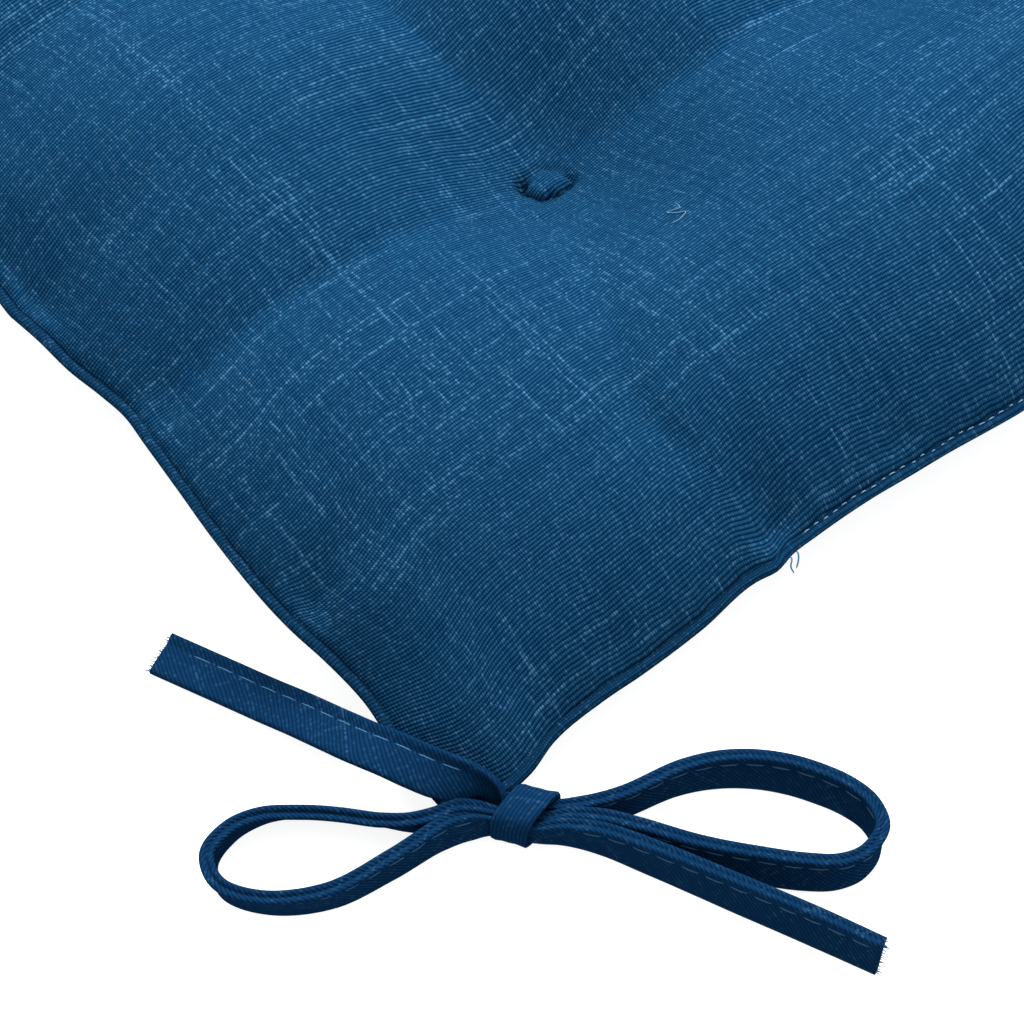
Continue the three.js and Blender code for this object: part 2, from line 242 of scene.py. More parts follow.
TAIL_TIE_ROUTE = [
    (-0.0079, -0.0033, 0.0069, 0, 0.5),
    (0.0, -0.0039, 0.0069, 0, 0.55),
    (0.0055, -0.0046, 0.0069, 0, 0.56),
    (0.0114, -0.0074, 0.0067, 0, 0.85),
    (0.0202, -0.0142, 0.0065, 5, 1),
    (0.0303, -0.0268, 0.0065, 11, 1),
    (0.0378, -0.0332, 0.0064, 15, 1),
    (0.0459, -0.0375, 0.0064, 17, 1),
    (0.0545, -0.0401, 0.0064, 18, 1),
    (0.063, -0.0411, 0.0064, 18, 1),
    (0.071, -0.0409, 0.0064, 16, 1),
    (0.078, -0.0388, 0.0064, 13, 1),
    (0.0829, -0.0336, 0.0065, 10, 1),
    (0.0822, -0.026, 0.0065, 10, 1),
    (0.0775, -0.0204, 0.0065, 12, 1),
    (0.07, -0.0168, 0.0064, 14, 1),
    (0.0589, -0.0134, 0.0064, 14, 1),
    (0.0441, -0.01, 0.0064, 11, 1),
    (0.0285, -0.0082, 0.0065, 6, 1),
    (0.019, -0.0069, 0.0066, 0, 1),
    (0.011, -0.0044, 0.0068, 0, 0.85),
    (0.0055, -0.0018, 0.0069, 0, 0.56),
    (0.0, -0.0015, 0.0068, 0, 0.55),
    (-0.006, -0.001, 0.0069, 4, 0.5),
    (-0.0112, -0.0012, 0.0111, 25, 0.7),
    (-0.017, 0.0012, 0.0148, 52, 0.92),
    (-0.0227, 0.003, 0.0168, 64, 1),
    (-0.0292, 0.0036, 0.0177, 72, 1),
    (-0.0356, 0.0035, 0.0176, 80, 1),
    (-0.0424, 0.0032, 0.0165, 87, 1),
    (-0.0526, 0.0008, 0.0117, 90, 1),
    (-0.0642, -0.0018, 0.0068, 90, 1),
    (-0.075, -0.0034, 0.0034, 90, 1),
    (-0.086, -0.0041, 0.0023, 90, 1),
    (-0.106, -0.0045, 0.0021, 90, 1),
]
ROOT_ROUTE = [
    (0.0, -0.0016, 0.002, 90, 1),
    (-0.005, -0.0017, 0.0019, 90, 1),
    (-0.0085, -0.0019, 0.0019, 90, 1),
    (-0.0114, -0.002, 0.003, 90, 1),
]
KNOT_PLACE = np.array((0.1814, 0.1944, 0.0))
ALONG = np.array((-0.41, 0.912, 0.0))
OUT = np.array((0.912, 0.41, 0.0))

# Half of the tie's section, from its fold to its stitched edge, where two rolled lips
# meet. Columns are the share of the half width and the half thickness in millimetres.
TIE_SECTION = [
    (-1.0, 0.0),
    (-0.985, 0.5),
    (-0.94, 0.9),
    (-0.84, 1.1),
    (-0.6, 1.12),
    (-0.3, 1.05),
    (0.0, 1.0),
    (0.25, 1.0),
    (0.38, 0.95),
    (0.46, 0.8),
    (0.55, 1.0),
    (0.68, 1.45),
    (0.8, 1.85),
    (0.9, 1.95),
    (0.97, 1.7),
    (1.0, 1.25),
    (0.985, 0.75),
    (0.93, 0.3),
    (0.87, 0.0),
]
STITCH_ROW = 0.46  # place of the topstitch across the tie, as a share of the half width

# The turn of tie that binds the bow, from edge to edge
KNOT_SECTION = [
    (-1.0, 0.0),
    (-0.97, 0.5),
    (-0.88, 0.85),
    (-0.7, 0.9),
    (-0.35, 0.72),
    (0.0, 0.8),
    (0.35, 0.72),
    (0.7, 0.95),
    (0.88, 0.9),
    (0.97, 0.5),
    (1.0, 0.0),
]
KNOT_TURN = -10
KNOT_SLANT = 0.38  # how far the turn runs along the bow while it crosses it
KNOT_INWARD = 0.0006
KNOT_HALF_WIDTH = 0.0063
KNOT_HALF_HEIGHT = 0.0057
KNOT_MIDDLE = 0.0071


def linear(code):
    """Linear colour of an sRGB hex value."""
    channels = [int(code[i : i + 2], 16) / 255 for i in (1, 3, 5)]
    return tuple(c / 12.92 if c <= 0.04045 else ((c + 0.055) / 1.055) ** 2.4 for c in channels)


def length_property(name, description, default):
    return bpy.props.FloatProperty(
        name=name, description=description, default=default, min=0, unit="LENGTH", precision=5
    )


def colour_property(name, description, code):
    return bpy.props.FloatVectorProperty(
        name=name, description=description, default=linear(code), subtype="COLOR", min=0, max=1
    )


class CushionSizes(bpy.types.PropertyGroup):
    """Sizes that a user would change"""

    side: length_property("Side", "Sewn size of the square cover", 0.406)
    crown: length_property("Crown", "Height of the top above the seam, with no tufts", 0.049)
    seam_middle: length_property("Seam height", "Height of the seam at the middle of a side", 0.027)
    seam_corner: length_property("Corner height", "Height of the seam at a corner", 0.005)
    tuft_place: length_property("Tuft place", "Distance of each tuft from the middle lines", 0.0585)
    lip_width: length_property("Seam lip", "Width of the rolled lip along the seam", 0.0038)
    flange_width: length_property("Closing edge", "Width of the flat closing edge", 0.0058)
    closing_half: length_property("Closing half", "Half the length of the closing edge", 0.089)
    tie_width: length_property("Tie width", "Width of the flat tie", 0.0125)
    knot_length: length_property("Knot length", "Length of the turn that binds the bow", 0.0104)
    stitch_pitch: length_property("Stitch pitch", "From one tie stitch to the next", 0.0066)
    stitch_length: length_property("Stitch length", "Length of one tie stitch", 0.005)
    rib_pitch: length_property("Rib pitch", "From one weft rib of the cloth to the next", 0.00105)
    warp_pitch: length_property("Warp pitch", "From one warp thread to the next", 0.0007)


class CushionColours(bpy.types.PropertyGroup):
    """Colours that a user would change"""

    cloth: colour_property("Cloth", "Colour of the cover's threads", "#133853")
    # The groove colours are painted shade: the colour deep between the ribs, where shade falls.
    groove_shade: colour_property("Groove", "Colour deep between the ribs", "#011a35")
    # The slub colour serves the pale slubs and also paints highlights on the tops of random beads.
    slub_and_highlight: colour_property("Slub", "Colour of the pale thickened threads", "#3b6789")
    # The seam lip is the cover's own cloth; its darker colours here are painted shade.
    edge: colour_property("Edge cloth", "Colour of the seam lip's threads", "#0b2840")
    edge_groove_shade: colour_property("Edge groove", "Colour between the seam lip's ribs", "#03192e")
    # The ties are the cover's own cloth; their darker colours here are painted shade.
    tie: colour_property("Tie cloth", "Colour of the ties' threads", "#08233e")
    tie_groove_shade: colour_property("Tie groove", "Colour between the ties' ribs", "#041a32")
    thread: colour_property("Thread", "Sewing thread of the ties", "#2b587c")
    pale_thread: colour_property("Closing thread", "Sewing thread of the closing edge", "#587d9b")
    floor: colour_property("Floor", "Plain pale floor", "#a0a0a0")


def sizes():
    return bpy.context.scene.cushion_sizes


def colours():
    return bpy.context.scene.cushion_colours


def through(table, at):
    """Smooth curve through the rows of a two-column table."""
    x, y = np.array(table, float).T
    slope = np.gradient(y, x)
    at = np.clip(at, x[0], x[-1])
    i = np.clip(np.searchsorted(x, at) - 1, 0, len(x) - 2)
    span = x[i + 1] - x[i]
    t = (at - x[i]) / span
    start = (1 + 2 * t) * (1 - t) ** 2 * y[i] + t * (1 - t) ** 2 * span * slope[i]
    end = t * t * (3 - 2 * t) * y[i + 1] - t * t * (1 - t) * span * slope[i + 1]
    return start + end


def ease(share):
    x = np.clip(share, 0, 1)
    return x * x * (3 - 2 * x)


def bump(distance, width):
    return np.exp(-((distance / width) ** 2))


def smooth_path(points, count):
    """A curve of count points through given points."""
    at = np.linspace(0, len(points) - 1, count)
    return np.stack([through(list(enumerate(column)), at) for column in np.array(points, float).T], 1)


def unit(vectors):
    return vectors / np.linalg.norm(vectors, axis=-1, keepdims=True)


def segment_distance(x, y, a, b):
    """Distance of points from a segment, and how far along it they are, as a share."""
    dx, dy = b[0] - a[0], b[1] - a[1]
    share = np.clip(((x - a[0]) * dx + (y - a[1]) * dy) / (dx * dx + dy * dy), 0, 1)
    return np.hypot(x - a[0] - share * dx, y - a[1] - share * dy), share


def line_distance(x, y, points):
    return np.minimum.reduce([segment_distance(x, y, a, b)[0] for a, b in zip(points, points[1:])])


def mesh_object(name, points, faces, uvs=None, smooth=True):
    """A mesh piece. uvs holds one pair for each corner of each face, in metres of cloth."""
    mesh = bpy.data.meshes.new(name)
    mesh.from_pydata(np.asarray(points).tolist(), [], [tuple(f) for f in faces])
    if uvs is not None:
        layer = mesh.uv_layers.new(name="cloth")
        layer.uv.foreach_set("vector", np.asarray(uvs, np.float32).ravel())
    mesh.shade_smooth() if smooth else mesh.shade_flat()
    mesh.validate()
    piece = bpy.data.objects.new(name, mesh)
    bpy.context.scene.collection.objects.link(piece)
    return piece


def settle(piece, material):
    """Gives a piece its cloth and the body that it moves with."""
    piece.data.materials.append(material)
    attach(piece, BODY)
    return piece


# Materials


def add(tree, kind, settings, inputs):
    """Adds a node with its settings, links or sets its inputs by name or number, and
    returns its first output."""
    new = tree.nodes.new(kind)
    for name, value in settings.items():
        setattr(new, name, value)
    for key, value in inputs.items():
        if isinstance(value, bpy.types.NodeSocket):
            tree.links.new(value, new.inputs[key])
        else:
            new.inputs[key].default_value = value
    return new.outputs[0] if new.outputs else None


def empty_material(name):
    """A material with no nodes yet, and its tree."""
    material = bpy.data.materials.new(name)
    material.use_nodes = True
    material.node_tree.nodes.clear()
    return material, material.node_tree


MATH = "ShaderNodeMath"
MULTIPLY = {"operation": "MULTIPLY"}
MULTIPLY_ADD = {"operation": "MULTIPLY_ADD"}
SMOOTH = {"interpolation_type": "SMOOTHSTEP"}
FLAT = {"noise_dimensions": "2D"}
COLOURS = {"data_type": "RGBA"}


# Slubbed plain weave of spun polyester, matt. The thick weft makes fine ribs along the back edge, the warp
# cuts them into beads of uneven tone, and pale slubs run both ways. The colour also holds painted shade
# deep between the threads and painted highlights on random bead tops.
def slubbed_polyester(
    name, cloth, groove_shade, slub_and_highlight, turn=0.0, slub_share=1.0, rib_depth=0.26, ribbed=0.35
):
    material, tree = empty_material(name)
    flat = add(tree, "ShaderNodeUVMap", {"uv_map": "cloth"}, {})
    turned = add(tree, "ShaderNodeMapping", {}, {0: flat, 2: (0.0, 0.0, math.radians(turn))})
    across_warp, across_weft = add(tree, "ShaderNodeSeparateXYZ", {}, {0: turned}).node.outputs[:2]

    # Each set of threads: its number, how round it stands, and where it is thick and pale.
    # Spun threads aren't even, so both sets wander by a share of their pitch.
    numbers, rounds, tones, slubs = [], [], [], []
    for along, across, pitch, spread in (
        (across_warp, across_weft, sizes().rib_pitch, 5.37),
        (across_weft, across_warp, sizes().warp_pitch, 3.71),
    ):
        place = add(tree, "ShaderNodeCombineXYZ", {}, {0: along, 1: across})
        sway = add(tree, "ShaderNodeTexNoise", FLAT, {"Vector": place, "Scale": 110.0, "Detail": 1.0})
        moved = add(tree, MATH, MULTIPLY_ADD, {0: sway, 1: 0.001, 2: across})
        count = add(tree, MATH, {"operation": "DIVIDE"}, {0: moved, 1: pitch})
        number = add(tree, MATH, {"operation": "FLOOR"}, {0: count})
        part = add(tree, MATH, {"operation": "FRACT"}, {0: count})
        angle = add(tree, MATH, MULTIPLY, {0: part, 1: math.pi})
        apart = add(tree, MATH, MULTIPLY, {0: number, 1: spread})
        length = add(tree, MATH, MULTIPLY, {0: along, 1: 24.0})
        thread = add(tree, "ShaderNodeCombineXYZ", {}, {0: length, 1: apart})
        run = add(tree, "ShaderNodeTexNoise", FLAT, {"Vector": thread, "Scale": 1.0, "Detail": 2.0})
        pick = add(tree, "ShaderNodeTexWhiteNoise", {"noise_dimensions": "1D"}, {"W": apart})
        thick = add(tree, "ShaderNodeMapRange", SMOOTH, {0: run, 1: 0.38, 2: 0.68})
        chosen = add(tree, "ShaderNodeMapRange", SMOOTH, {0: pick, 1: 0.58, 2: 1.0})
        numbers.append(number)
        rounds.append(add(tree, MATH, {"operation": "SINE"}, {0: angle}))
        tones.append(add(tree, MATH, MULTIPLY_ADD, {0: pick, 1: 0.4, 2: run}))
        slubs.append(add(tree, MATH, MULTIPLY, {0: thick, 1: chosen}))

    # One thread passes over the other at every second crossing, which makes rows of beads with a dark dot
    # between them. The dark dot is painted shade in the colour, and the same height drives the bump.
    crossing = add(tree, MATH, {"operation": "ADD"}, {0: numbers[0], 1: numbers[1]})
    parity = add(tree, MATH, {"operation": "PINGPONG"}, {0: crossing, 1: 1.0})
    beads = []
    for over, under, least in ((rounds[1], rounds[0], 0.3), (rounds[0], rounds[1], 0.5)):
        ends = add(tree, MATH, MULTIPLY_ADD, {0: under, 1: 1.0 - least, 2: least})
        beads.append(add(tree, MATH, MULTIPLY, {0: over, 1: ends}))
    woven = add(tree, "ShaderNodeMix", {}, {0: parity, 2: beads[0], 3: beads[1]})
    height = add(tree, "ShaderNodeMix", {}, {0: ribbed, 2: woven, 3: rounds[0]})

    # Every bead has its own tone, and more of them are pale where their thread is a slub. The pale colour
    # lies on the bead tops, and on random beads away from the slubs it is a painted highlight.
    cell = add(tree, "ShaderNodeCombineXYZ", {}, {0: numbers[0], 1: numbers[1]})
    fleck = add(tree, "ShaderNodeTexWhiteNoise", FLAT, {"Vector": cell})
    cloud = add(tree, "ShaderNodeTexNoise", FLAT, {"Vector": turned, "Scale": 15.0, "Detail": 1.0})
    patch = add(tree, "ShaderNodeMapRange", SMOOTH, {0: cloud, 1: 0.35, 2: 0.6, 3: 0.4, 4: 1.15})
    most = add(tree, MATH, {"operation": "MAXIMUM"}, {0: slubs[0], 1: slubs[1]})
    either = add(tree, MATH, MULTIPLY, {0: most, 1: patch})
    bead_highlight_chance = add(tree, MATH, MULTIPLY, {0: fleck, 1: 0.8})
    chance = add(tree, MATH, MULTIPLY_ADD, {0: either, 1: 0.42, 2: bead_highlight_chance})
    pale = add(tree, "ShaderNodeMapRange", SMOOTH, {0: chance, 1: 0.48, 2: 1.3, 4: 0.8 * slub_share})
    slub_and_highlight_share = add(tree, MATH, MULTIPLY, {0: pale, 1: height})

    # Whole threads are lighter or darker too, which shows as faint lines along the ribs. The colour then
    # runs from the groove colour low down to the cloth colour on the bead tops: painted shade between the
    # threads.
    tone = add(tree, MATH, {"operation": "ADD"}, {0: tones[0], 1: tones[1]})
    uneven = add(tree, "ShaderNodeMapRange", {}, {0: tone, 1: 0.9, 2: 1.9, 3: 0.75, 4: 1.25})
    lit = add(tree, MATH, MULTIPLY, {0: height, 1: uneven})
    shade = add(tree, "ShaderNodeMapRange", SMOOTH, {0: lit, 1: 0.15, 2: 0.9})
    mix = add(tree, "ShaderNodeMix", COLOURS, {0: shade, 6: (*groove_shade, 1), 7: (*cloth, 1)})
    mix = add(tree, "ShaderNodeMix", COLOURS, {0: slub_and_highlight_share, 6: mix.node.outputs[2], 7: (*slub_and_highlight, 1)})
    raised = add(tree, MATH, MULTIPLY_ADD, {0: slub_and_highlight_share, 1: 0.5, 2: height})
    relief = add(tree, "ShaderNodeBump", {}, {"Distance": rib_depth * MM, "Height": raised})
    look = {"Base Color": mix.node.outputs[2], "Roughness": 0.55, "Normal": relief}
    look["Specular IOR Level"] = 0.0
    surface = add(tree, "ShaderNodeBsdfPrincipled", {}, look)
    add(tree, "ShaderNodeOutputMaterial", {}, {0: surface})
    return material


# Two-ply polyester sewing thread. Its colour is painted darker between the plies and lighter on them,
# painted shade and highlight along its tight twist, and a bump follows the twist as well.
def sewing_thread(name, colour):
    material, tree = empty_material(name)
    place = add(tree, "ShaderNodeUVMap", {"uv_map": "cloth"}, {})
    along, around = add(tree, "ShaderNodeSeparateXYZ", {}, {0: place}).node.outputs[:2]
    lean = add(tree, MATH, MULTIPLY, {0: around, 1: 5000.0})
    ply = add(tree, MATH, MULTIPLY_ADD, {0: along, 1: 9000.0, 2: lean})
    wave = add(tree, MATH, {"operation": "SINE"}, {0: ply})
    twist = add(tree, MATH, {"operation": "ABSOLUTE"}, {0: wave})
    dark = [0.45 * channel for channel in colour]
    tone = add(tree, "ShaderNodeMix", COLOURS, {0: twist, 6: (*dark, 1), 7: (*colour, 1)})
    relief = add(tree, "ShaderNodeBump", {}, {"Strength": 0.6, "Distance": 0.05 * MM, "Height": twist})
    look = {"Base Color": tone.node.outputs[2], "Roughness": 0.55, "Normal": relief}
    look["Specular IOR Level"] = 0.2
    surface = add(tree, "ShaderNodeBsdfPrincipled", {}, look)
    add(tree, "ShaderNodeOutputMaterial", {}, {0: surface})
    return material


# Sheet of matt white acrylic on a light table, so that the shadows on it stay faint
def lit_acrylic(name, colour):
    material, tree = empty_material(name)
    place = add(tree, "ShaderNodeTexCoord", {}, {}).node.outputs[3]
    cloud = add(tree, "ShaderNodeTexNoise", {}, {"Vector": place, "Scale": 3.0})
    low = [0.97 * channel for channel in colour]
    tone = add(tree, "ShaderNodeMix", COLOURS, {0: cloud, 6: (*low, 1), 7: (*colour, 1)})
    look = {"Base Color": tone.node.outputs[2], "Roughness": 0.8}
    look["Emission Color"] = (1, 1, 1, 1)
    look["Emission Strength"] = FLOOR_GLOW
    surface = add(tree, "ShaderNodeBsdfPrincipled", {}, look)
    add(tree, "ShaderNodeOutputMaterial", {}, {0: surface})
    return material


def shared(name, maker, *values, **settings):
    """The material of that name, made at its first use."""
    return bpy.data.materials.get(name) or maker(name, *values, **settings)


def cover_cloth():
    c = colours()
    return shared("slubbed_polyester_cover", slubbed_polyester, c.cloth, c.groove_shade, c.slub_and_highlight)


# The seam lip's cloth in darker colours: painted shade on the cover's own cloth
def shaded_edge_cloth():
    c = colours()
    return shared(
        "slubbed_polyester_edge_shaded", slubbed_polyester, c.edge, c.edge_groove_shade, c.slub_and_highlight, slub_share=0.5
    )


# The ties' cloth in darker colours: painted shade on the cover's own cloth, turned 45 degrees
def shaded_tie_cloth():
    c = colours()
    return shared(
        "slubbed_polyester_tie_shaded",
        slubbed_polyester,
        c.tie,
        c.tie_groove_shade,
        c.slub_and_highlight,
        turn=45.0,
        slub_share=0.3,
        rib_depth=0.16,
        ribbed=0.8,
    )


# Form of the cushion


def tuft_places():
    t = sizes().tuft_place
    return [(sx * t, sy * t) for sx in (-1, 1) for sy in (-1, 1)]


def outline(across, deep, inset=0.0):
    """Place in plan for shares of the half sides, before the tufts pull the cloth in."""
    half = sizes().side / 2 - inset
    flank = through(FLANK_DRAW_IN, np.abs(deep)) * MM
    back = through(BACK_DRAW_IN, np.abs(across)) * MM
    front = through(FRONT_DRAW_IN, np.abs(across)) * MM
    end = np.where(deep > 0, back, front)
    return across * (half - flank), deep * (half - end)


def seam_height(across, deep):
    s = sizes()
    return s.seam_middle - (s.seam_middle - s.seam_corner) * np.abs(across * deep) ** 3


def rise(share, edge, power):
    return np.maximum(0, 1 - np.abs(share) ** edge) ** power


def gathered(x, y):
    """Plan places after each tuft has gathered the cloth round it."""
    moved_x, moved_y = x.copy(), y.copy()
    for tx, ty in tuft_places():
        distance = np.hypot(x - tx, y - ty) + 1e-9
        amount = GATHER * MM * (1 - np.exp(-distance / GATHER_START)) * np.exp(-distance / GATHER_REACH)
        moved_x += (tx - x) / distance * amount
        moved_y += (ty - y) / distance * amount
    return moved_x, moved_y


def top_height(across, deep, x, y):
    s = sizes()
    crown = s.crown * rise(across, TOP_EDGE, TOP_ROUND) * rise(deep, TOP_EDGE, TOP_ROUND)
    floor = TUFT_FLOOR * MM
    away = [np.sqrt((x - tx) ** 2 + (y - ty) ** 2 + floor**2) - floor for tx, ty in tuft_places()]
    pull = sum(np.exp(-distance / (TUFT_REACH * MM)) for distance in away)
    crown = crown * (1 - TUFT_DEPTH * np.minimum(1, pull))
    for points, depth, width, power in FOLDS:
        line = [(px * MM, py * MM) for px, py in points]
        distance = line_distance(np.abs(x), np.abs(y), line) / (width * MM)
        softened = np.sqrt(distance**2 + CREASE_ROUND**2) - CREASE_ROUND
        crown = crown * (1 - depth * np.exp(-(softened**power)))
    for tx, ty in tuft_places():
        # The tack sinks into a pit at each end, and a short fold stands beside it
        along = ((x - tx) * TACK_LINE[0] * np.sign(tx) + (y - ty) * TACK_LINE[1] * np.sign(ty)) / MM
        aside = ((x - tx) * TACK_LINE[1] * np.sign(tx) - (y - ty) * TACK_LINE[0] * np.sign(ty)) / MM
        pits = bump(np.hypot(along + PIT_PLACE, aside + 1), PIT_WIDTH)
        pits = pits + 0.6 * bump(np.hypot(along - PIT_PLACE, aside), 0.8 * PIT_WIDTH)
        pits = pits + 0.16 * bump(np.hypot(along / 6.4, aside / 5) - 1, 0.3)
        fold = bump(np.hypot(along + 5, aside) - FOLD_RADIUS, FOLD_HALF_WIDTH)
        fold = fold * bump(along + 6, 8) * ease(aside / 4)
        crown = crown + (FOLD_RISE * fold - PIT_DEPTH * pits) * MM
    height = seam_height(across, deep) + crown
    for start, end, depth, width in PUCKERS:
        a, b = [(px * MM, py * MM) for px, py in (start, end)]
        distance, share = segment_distance(np.abs(x), y, a, b)
        height = height - depth * MM * bump(distance, width * MM) * (1 - ease(share)) * ease(crown / 0.008)
    return height


def belly_height(across, deep, x, y):
    seam = seam_height(across, deep)
    hang = (seam + BELLY_PRESS * MM) * rise(across, BELLY_EDGE, BELLY_ROUND) * rise(
        deep, BELLY_EDGE, BELLY_ROUND
    )
    nearest = np.minimum.reduce([np.hypot(x - tx, y - ty) for tx, ty in tuft_places()])
    lift = UNDER_TUFT_LIFT * MM * ease(1 - nearest / (UNDER_TUFT_REACH * MM))
    return np.maximum(0, seam - hang) + lift


def grid_shares(cells):
    """Grid lines from side to side, closer together at the tufts and at the seam."""
    even = np.linspace(-1, 1, 4001)
    tuft = 2 * sizes().tuft_place / sizes().side
    density = 1 + 2.5 * bump(np.abs(even) - tuft, 0.07) + ease((np.abs(even) - 0.8) / 0.2)
    run = np.append(0, np.cumsum((density[1:] + density[:-1]) / 2))
    return np.interp(np.linspace(0, run[-1], cells + 1), run, even)


def cushion_mesh(cells, inset):
    """One closed skin: a top and an underside that share the points of the seam."""
    shares = grid_shares(cells)
    across, deep = np.meshgrid(shares, shares)
    x, y = gathered(*outline(across, deep, inset))
    top = np.stack([x, y, top_height(across, deep, x, y)], -1).reshape(-1, 3)
    belly = np.stack([x, y, belly_height(across, deep, x, y)], -1).reshape(-1, 3)
    row = cells + 1
    number = np.arange(row * row).reshape(row, row)
    seam = np.zeros((row, row), bool)
    seam[0] = seam[-1] = True
    seam[:, 0] = seam[:, -1] = True
    below = number.copy()
    below[~seam] = row * row + np.arange((~seam).sum())
    points = np.concatenate([top, belly[~seam.ravel()]])
    quads = [number[:-1, :-1], number[:-1, 1:], number[1:, 1:], number[1:, :-1]]
    top_faces = np.stack([q.ravel() for q in quads], 1)
    under = [below[:-1, :-1], below[1:, :-1], below[1:, 1:], below[:-1, 1:]]
    under_faces = np.stack([q.ravel() for q in under], 1)
    half = sizes().side / 2
    flat = np.stack([across * half, deep * half], -1).reshape(-1, 2)
    top_uv = flat[top_faces]
    corner = [number[:-1, :-1], number[1:, :-1], number[1:, 1:], number[:-1, 1:]]
    under_uv = flat[np.stack([q.ravel() for q in corner], 1)]
    faces = np.concatenate([top_faces, under_faces])
    return points, faces, np.concatenate([top_uv, under_uv])


def tuft_mesh(name, place, rings=18, around=48):
    """The puff of cloth that the tack holds between its two pits."""
    sx, sy = np.sign(place)
    line = np.array((TACK_LINE[0] * sx, TACK_LINE[1] * sy))
    aside = np.array((TACK_LINE[1] * sx, -TACK_LINE[0] * sy))
    turn = np.linspace(0, 2 * math.pi, around, endpoint=False)
    rise_up = np.linspace(-0.5, 1, rings)
    points, uvs = [], []
    for share in rise_up:
        level = math.sin(share * math.pi / 2)
        round_out = math.cos(share * math.pi / 2) ** 0.8
        pleats = 1 + 0.08 * np.sin(3 * turn + 0.7) + 0.05 * np.sin(7 * turn)
        u = PUFF_HALF_LENGTH * MM * round_out * pleats * np.cos(turn)
        v = PUFF_HALF_WIDTH * MM * round_out * pleats * np.sin(turn)
        sag = PUFF_SAG * MM * bump(np.hypot(u + 1.5 * MM, v), 2.2 * MM)
        flat = np.array(place) + u[:, None] * line + v[:, None] * aside
        height = TUFT_MIDDLE * MM + PUFF_RISE * MM * level - sag
        points.append(np.column_stack([flat, np.broadcast_to(height, around)]))
        uvs.append(flat * 1.25)
    points = np.concatenate(points)
    uvs = np.concatenate(uvs)
    faces = tube_faces(rings, around)
    faces.append(tuple(range(around))[::-1])
    corners = [uvs[number] for face in faces for number in face]
    return mesh_object(name, points, faces, corners)


# Ties


def route_points(rows, hand):
    """Places of a route's rows in the row frame. hand is 1 for the right, -1 for the left."""
    rows = np.array(rows, float)
    points = KNOT_PLACE + rows[:, :1] * ALONG + rows[:, 1:2] * OUT + rows[:, 2:3] * UP
    return points * np.array((hand, 1, 1)), rows[:, 3], rows[:, 4]


def strip_line(rows, hand, step):
    """Evenly spaced frames of a flat strip: centre, tangent, edge, side, width share, length."""
    points, lean, gather = route_points(rows, hand)
    ends = [2 * points[0] - points[1], *points, 2 * points[-1] - points[-2]]
    line, place = [], []
    for i in range(len(points) - 1):
        p0, p1, p2, p3 = ends[i : i + 4]
        k0, k1, k2 = (max(np.linalg.norm(b - a) ** 0.5, 1e-6) for a, b in ((p0, p1), (p1, p2), (p2, p3)))
        t1 = ((p1 - p0) / k0 - (p2 - p0) / (k0 + k1) + (p2 - p1) / k1) * k1
        t2 = ((p2 - p1) / k1 - (p3 - p1) / (k1 + k2) + (p3 - p2) / k2) * k1
        t = np.linspace(0, 1, 41)[:-1, None]
        line.append(
            (2 * t**3 - 3 * t**2 + 1) * p1
            + (t**3 - 2 * t**2 + t) * t1
            + (3 * t**2 - 2 * t**3) * p2
            + (t**3 - t**2) * t2
        )
        place.append(i + t[:, 0])
    line = np.concatenate([*line, points[-1:]])
    place = np.append(np.concatenate(place), len(points) - 1)
    run = np.append(0, np.cumsum(np.linalg.norm(np.diff(line, axis=0), axis=1)))
    at = np.linspace(0, run[-1], int(round(run[-1] / step)) + 1)
    centre = np.stack([np.interp(at, run, line[:, k]) for k in range(3)], 1)
    row = np.interp(at, run, place)
    row_numbers = np.arange(len(lean))
    lean = np.radians(np.interp(row, row_numbers, lean))
    gather = np.interp(row, row_numbers, gather)
    tangent = unit(np.gradient(centre, axis=0))
    outward = OUT * np.array((hand, 1, 1))
    edge = np.cos(lean)[:, None] * UP - np.sin(lean)[:, None] * outward
    edge = unit(edge - (edge * tangent).sum(1, keepdims=True) * tangent)
    side = np.cross(tangent, edge)
    return {"centre": centre, "tangent": tangent, "edge": edge, "side": side, "gather": gather, "run": at}


def tube_faces(rings, around, closed=False):
    """Quads between rings of points, with no caps."""
    faces = []
    for i in range(rings if closed else rings - 1):
        a, b = i * around, (i + 1) % rings * around
        for k in range(around):
            n = (k + 1) % around
            faces.append((a + k, b + k, b + n, a + n))
    return faces


